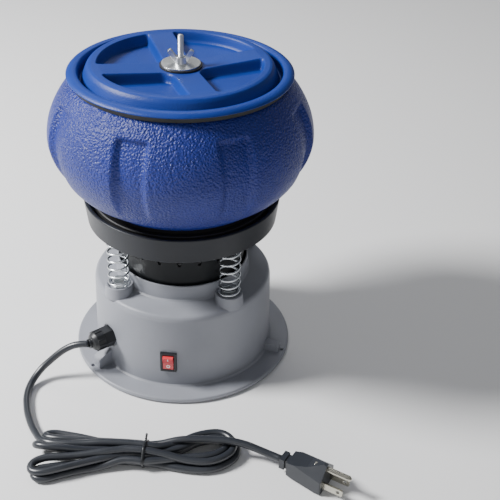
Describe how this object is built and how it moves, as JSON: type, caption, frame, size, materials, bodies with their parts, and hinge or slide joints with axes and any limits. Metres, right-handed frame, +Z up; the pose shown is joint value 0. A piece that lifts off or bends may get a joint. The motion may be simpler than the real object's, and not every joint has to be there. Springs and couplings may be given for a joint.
{
  "type": "vibratory rock tumbler",
  "caption": "Vibratory rock tumbler: blue lidded bowl on a sprung plate and motor, round grey base with red rocker switch, mains lead tied in a hank.",
  "frame": {"origin": "bottom centre of the round base, on the bench", "axes": "+Z up, -Y towards the rocker switch, +X to its right"},
  "size_m": [0.2873, 0.3193, 0.2992],
  "materials": {
    "grey_paint": "satin grey powder paint",
    "black_metal": "satin black paint",
    "black_plastic": "matt black moulding",
    "blue_plastic": "pebbled blue moulding",
    "red_plastic": "gloss red rocker",
    "black_rubber": "matt",
    "cord_jacket": "satin black jacket",
    "zinc_steel": "bright zinc plate",
    "spring_steel": "bright zinc plate",
    "shaft_steel": "ground",
    "cast_aluminium": "as cast",
    "core_iron": "dull",
    "copper_wire": "enamelled winding",
    "brass": "bright pins",
    "black_steel": "black oxide",
    "ivory_plastic": "plain moulding"
  },
  "bodies": {
    "base": {"base_shell": "grey_paint", "bottom_cover": "black_plastic", "rubber_feet": "black_rubber", "cover_screws": "zinc_steel", "switch_frame": "black_plastic", "gland_body": "black_plastic", "gland_dome": "black_plastic", "gland_lock_nut": "black_plastic", "lower_spring_bolts": "zinc_steel", "terminal_block": "ivory_plastic", "inner_lead": "cord_jacket", "cord_lead": "cord_jacket", "cord_hank": "cord_jacket", "cord_tail": "cord_jacket", "cord_tie": "black_plastic", "plug_body": "cord_jacket", "plug_blades": "brass", "plug_ground_pin": "brass"},
    "upper": {"bowl_plate": "black_metal", "seat_ring": "black_rubber", "motor_housing": "black_plastic", "motor_bracket": "cast_aluminium", "lower_bracket": "cast_aluminium", "stator_core": "core_iron", "stator_coils": "copper_wire", "upper_bearing": "shaft_steel", "lower_bearing": "shaft_steel", "upper_spring_bolts": "zinc_steel", "plate_screws": "zinc_steel", "centre_rod": "zinc_steel", "rod_nuts": "zinc_steel", "bowl": "blue_plastic", "bowl_washer": "zinc_steel", "bowl_nut": "zinc_steel", "spring_1": "spring_steel", "spring_2": "spring_steel", "spring_3": "spring_steel", "spring_4": "spring_steel"},
    "rotor": {"motor_shaft": "shaft_steel", "rotor_core": "core_iron", "eccentric_weight": "core_iron", "weight_screw": "black_steel", "cooling_fan": "ivory_plastic"},
    "lid": {"lid": "blue_plastic", "lid_gasket": "black_rubber"},
    "clamp": {"rubber_washer": "black_rubber", "steel_washer": "zinc_steel"},
    "wing_nut": {"wing_nut": "zinc_steel"},
    "rocker": {"rocker": "red_plastic"}
  },
  "joints": [
    {"name": "suspension", "type": "slide", "parent": "base", "child": "upper", "axis": [0, 0, 1], "range_m": [-0.004, 0.004], "stiffness_N_per_m": 20000, "springref_m": 0.00176, "deforming": ["spring_1", "spring_2", "spring_3", "spring_4"]},
    {"name": "rotor_spin", "type": "hinge", "parent": "upper", "child": "rotor", "pos_m": [0, 0, 0.08], "axis": [0, 0, 1], "continuous": true},
    {"name": "lid_lift", "type": "slide", "parent": "upper", "child": "lid", "axis": [0, 0, 1], "range_m": [0, 0.045]},
    {"name": "clamp_lift", "type": "slide", "parent": "lid", "child": "clamp", "axis": [0, 0, 1], "range_m": [0, 0.024]},
    {"name": "wing_nut_turn", "type": "hinge", "parent": "clamp", "child": "wing_nut", "pos_m": [0, 0, 0.28], "axis": [0, 0, 1], "range_deg": [0, 10800]},
    {"name": "rocker_tilt", "type": "hinge", "parent": "base", "child": "rocker", "pos_m": [0, -0.0815, 0.0314], "axis": [-1, 0, 0], "range_deg": [0, 22]}
  ],
  "couplings": [
    {"joint": "wing_nut_turn", "follows": "clamp_lift", "rad_per_m": 7854}
  ]
}
